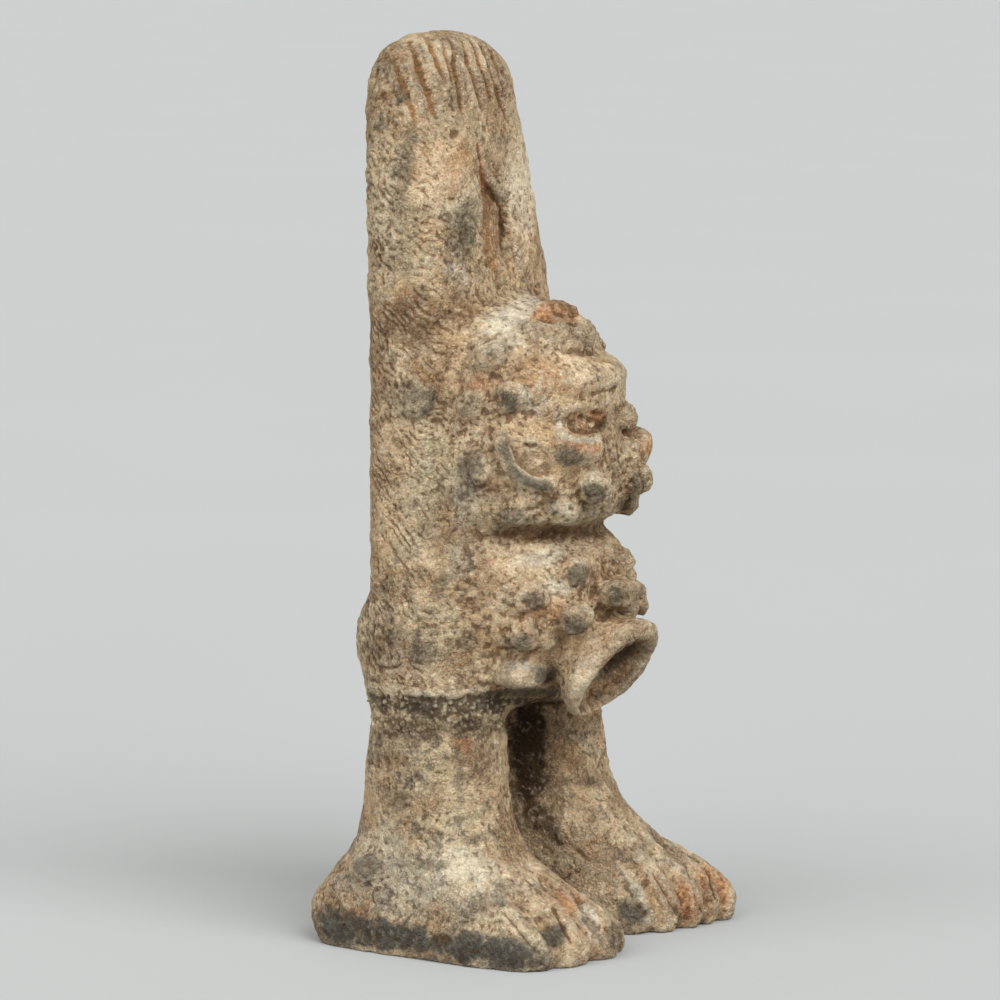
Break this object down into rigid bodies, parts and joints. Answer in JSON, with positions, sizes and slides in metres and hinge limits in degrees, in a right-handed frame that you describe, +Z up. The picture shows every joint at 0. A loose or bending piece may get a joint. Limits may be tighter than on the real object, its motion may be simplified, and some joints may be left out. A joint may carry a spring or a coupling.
{
  "type": "terracotta tomb figure",
  "caption": "Fired-clay tomb figure: a tall flattened pillar with a combed rounded top, pellet-covered masses and a flared snout on its front, on short legs with big bare feet",
  "frame": {"origin": "middle of the bounding box, on the plane that both soles rest on", "axes": "+Z up, the figure faces -Y, its right foot is at -X"},
  "size_m": [0.1912, 0.1776, 0.4924],
  "materials": {
    "fired_clay": "unglazed buff earthenware with coarse temper, grey-black stains and soil in its recesses"
  },
  "bodies": {
    "root": {"figure": "fired_clay"}
  },
  "joints": []
}
